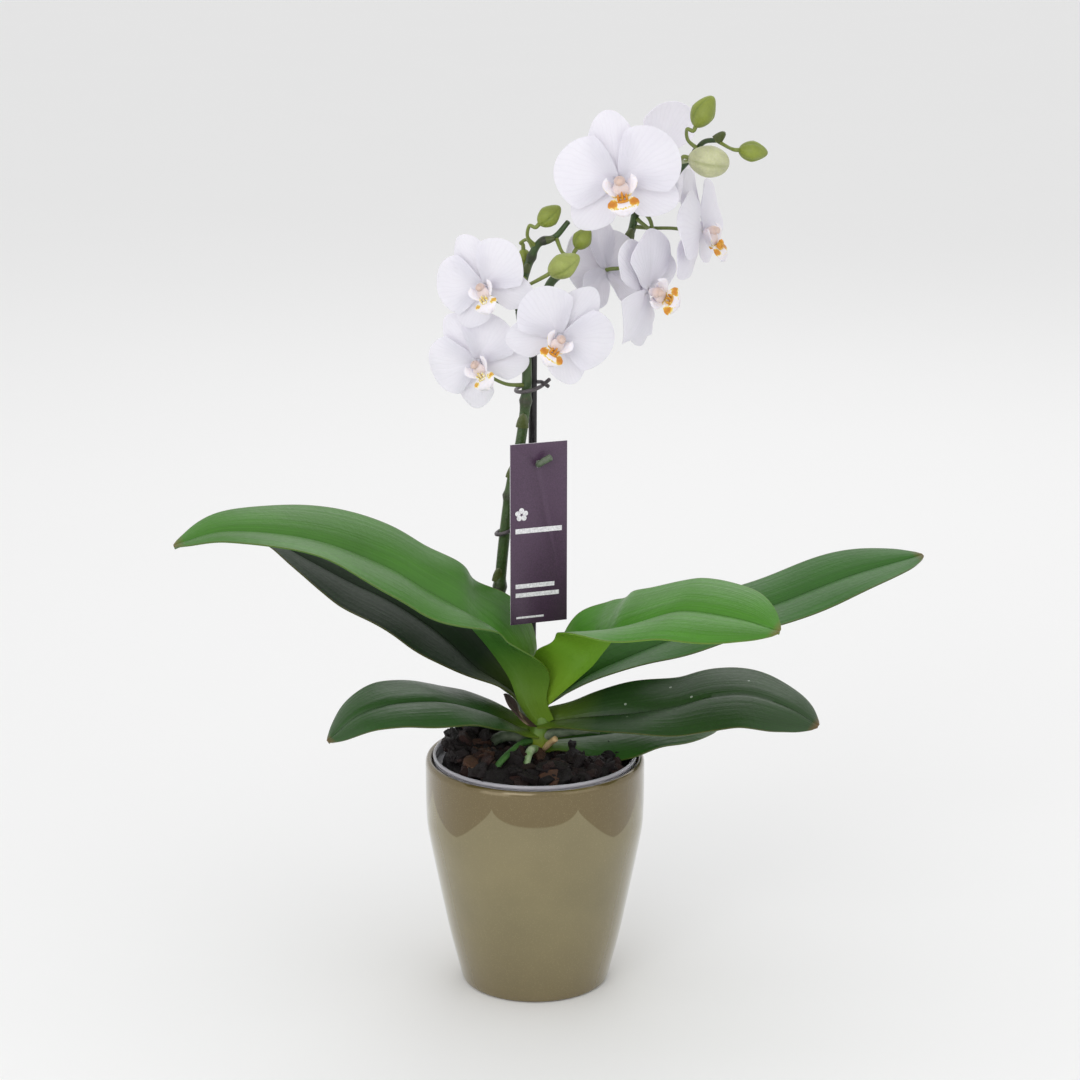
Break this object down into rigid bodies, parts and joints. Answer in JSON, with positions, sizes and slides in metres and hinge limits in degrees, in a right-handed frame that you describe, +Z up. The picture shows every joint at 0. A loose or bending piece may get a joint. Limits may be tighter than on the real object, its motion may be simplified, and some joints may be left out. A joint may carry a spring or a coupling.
{
  "type": "potted orchid",
  "caption": "Moth orchid with arching leaves and a branched spray of white flowers and green buds, held to a stake, in a clear grow pot inside a glazed ceramic cover pot.",
  "frame": {"origin": "centre of the cover pot's flat base", "axes": "+Z up from the base to the flowers, -Y towards the front of the plant, +X to its right"},
  "size_m": [0.4392, 0.1934, 0.5277],
  "materials": {
    "glaze": "gloss",
    "clear_plastic": "gloss",
    "bark": "matte",
    "young_green": "satin",
    "leaf_green": "satin",
    "dry_bract": "matte",
    "root_skin": "matte",
    "petal_white": "satin",
    "lip_orange": "satin",
    "bud_green": "satin",
    "stem_green": "satin",
    "black_stake": "satin",
    "clip_wire": "satin",
    "tag_card": "satin",
    "peg_grey": "satin"
  },
  "bodies": {
    "root": {"ceramic_pot": "glaze", "grow_pot": "clear_plastic", "bark_bed": "bark", "bark_chip_1": "bark", "bark_chip_2": "bark", "bark_chip_3": "bark", "bark_chip_4": "bark", "crown": "young_green", "leaf_1": "leaf_green", "leaf_2": "leaf_green", "leaf_3": "leaf_green", "leaf_4": "leaf_green", "leaf_5": "leaf_green", "leaf_6": "leaf_green", "leaf_7": "leaf_green", "old_bract": "dry_bract", "root_long": "root_skin", "root_pale": "root_skin", "root_grey": "root_skin", "root_right": "root_skin", "root_stub": "root_skin", "spike_main": "stem_green", "spike_left": "stem_green", "spike_right": "stem_green", "stake": "black_stake", "clip_upper": "clip_wire", "clip_lower": "clip_wire", "tag": "tag_card", "tag_peg": "peg_grey", "flower_a_tepals": "petal_white", "flower_a_lip": "lip_orange", "flower_b_tepals": "petal_white", "flower_b_lip": "lip_orange", "flower_c_tepals": "petal_white", "flower_c_lip": "lip_orange", "flower_d_tepals": "petal_white", "flower_d_lip": "lip_orange", "flower_e_tepals": "petal_white", "flower_e_lip": "lip_orange", "flower_f_tepals": "petal_white", "flower_f_lip": "lip_orange", "flower_g_tepals": "petal_white", "flower_g_lip": "lip_orange", "flower_h_tepals": "petal_white", "flower_h_lip": "lip_orange", "bud_1": "bud_green", "bud_2": "bud_green", "bud_3": "bud_green", "bud_4": "bud_green", "bud_5": "bud_green", "bud_6": "bud_green", "bud_7": "bud_green"}
  },
  "joints": []
}
